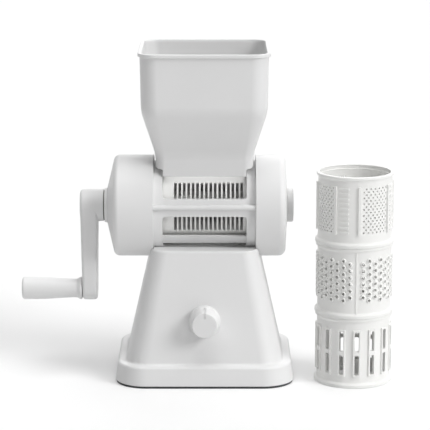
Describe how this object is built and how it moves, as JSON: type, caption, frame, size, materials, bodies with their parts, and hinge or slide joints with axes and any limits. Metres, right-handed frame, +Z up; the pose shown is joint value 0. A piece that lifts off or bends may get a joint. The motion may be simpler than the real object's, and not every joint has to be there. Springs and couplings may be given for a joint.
{
  "type": "rotary vegetable slicer",
  "caption": "Hand-cranked vegetable slicer: square hopper over a slotted drum in a windowed housing, tapered stand with a suction lock, crank handle and spare grating drums.",
  "frame": {"origin": "middle of the suction pad's underside, on the worktop", "axes": "+X along the drum axis towards the drum end, away from the crank; +Y to the back; +Z up"},
  "size_m": [0.3518, 0.1439, 0.312],
  "materials": {
    "body_plastic": "satin moulded ABS, pale white",
    "drum_plastic": "satin moulded polypropylene, white",
    "steel": "turned stainless steel",
    "bush_plastic": "natural acetal",
    "rubber": "matt moulded rubber"
  },
  "bodies": {
    "stand": {"base_shell": "body_plastic", "base_plate": "body_plastic", "base_screws": "steel", "foot_ring": "rubber", "suction_pad": "rubber", "cam_bracket": "body_plastic", "knob_bush": "bush_plastic", "housing_cage": "body_plastic", "housing_screws": "steel", "drive_cover": "body_plastic", "cover_screws": "steel", "inner_bush": "bush_plastic", "outer_bush": "bush_plastic"},
    "crank": {"crank_arm": "body_plastic", "crank_screw": "steel", "thrust_washer": "steel", "drive_shaft": "steel", "drive_cup": "drum_plastic", "drive_pin": "steel", "slicing_drum": "drum_plastic", "slicing_drum_hub": "drum_plastic", "grip_pin": "steel"},
    "grip": {"crank_grip": "body_plastic", "grip_plug": "body_plastic"},
    "end_cap": {"end_cap": "body_plastic", "end_cap_bush": "bush_plastic"},
    "hopper": {"hopper": "body_plastic"},
    "knob": {"suction_knob": "body_plastic", "knob_shaft": "steel", "suction_cam": "bush_plastic"},
    "stem": {"suction_stem": "bush_plastic"},
    "spare_wide_drum": {"wide_slot_drum": "drum_plastic", "wide_slot_drum_hub": "drum_plastic"},
    "spare_coarse_drum": {"coarse_grating_drum": "drum_plastic", "coarse_grating_drum_hub": "drum_plastic"},
    "spare_fine_drum": {"fine_grating_drum": "drum_plastic", "fine_grating_drum_hub": "drum_plastic"}
  },
  "joints": [
    {"name": "crank_turn", "type": "hinge", "parent": "stand", "child": "crank", "pos_m": [0, 0, 0.161], "axis": [1, 0, 0], "continuous": true},
    {"name": "grip_spin", "type": "hinge", "parent": "crank", "child": "grip", "pos_m": [-0.145, 0, 0.08], "axis": [1, 0, 0], "continuous": true},
    {"name": "end_cap_pull", "type": "slide", "parent": "stand", "child": "end_cap", "axis": [1, 0, 0], "range_m": [0, 0.022]},
    {"name": "hopper_lift", "type": "slide", "parent": "stand", "child": "hopper", "axis": [0, 0, 1], "range_m": [0, 0.06]},
    {"name": "knob_turn", "type": "hinge", "parent": "stand", "child": "knob", "pos_m": [0, -0.06, 0.0615], "axis": [0, 1, 0], "range_deg": [0, 90]},
    {"name": "stem_lift", "type": "slide", "parent": "stand", "child": "stem", "axis": [0, 0, 1], "range_m": [0, 0.004], "deforming": ["suction_pad"]},
    {"name": "wide_drum_lift", "type": "slide", "parent": "stand", "child": "spare_wide_drum", "axis": [0, 0, 1], "range_m": [0, 0.08]},
    {"name": "coarse_drum_lift", "type": "slide", "parent": "spare_wide_drum", "child": "spare_coarse_drum", "axis": [0, 0, 1], "range_m": [0, 0.08]},
    {"name": "fine_drum_lift", "type": "slide", "parent": "spare_coarse_drum", "child": "spare_fine_drum", "axis": [0, 0, 1], "range_m": [0, 0.08]}
  ],
  "couplings": [
    {"joint": "stem_lift", "follows": "knob_turn", "m_per_rad": 0.002546}
  ]
}
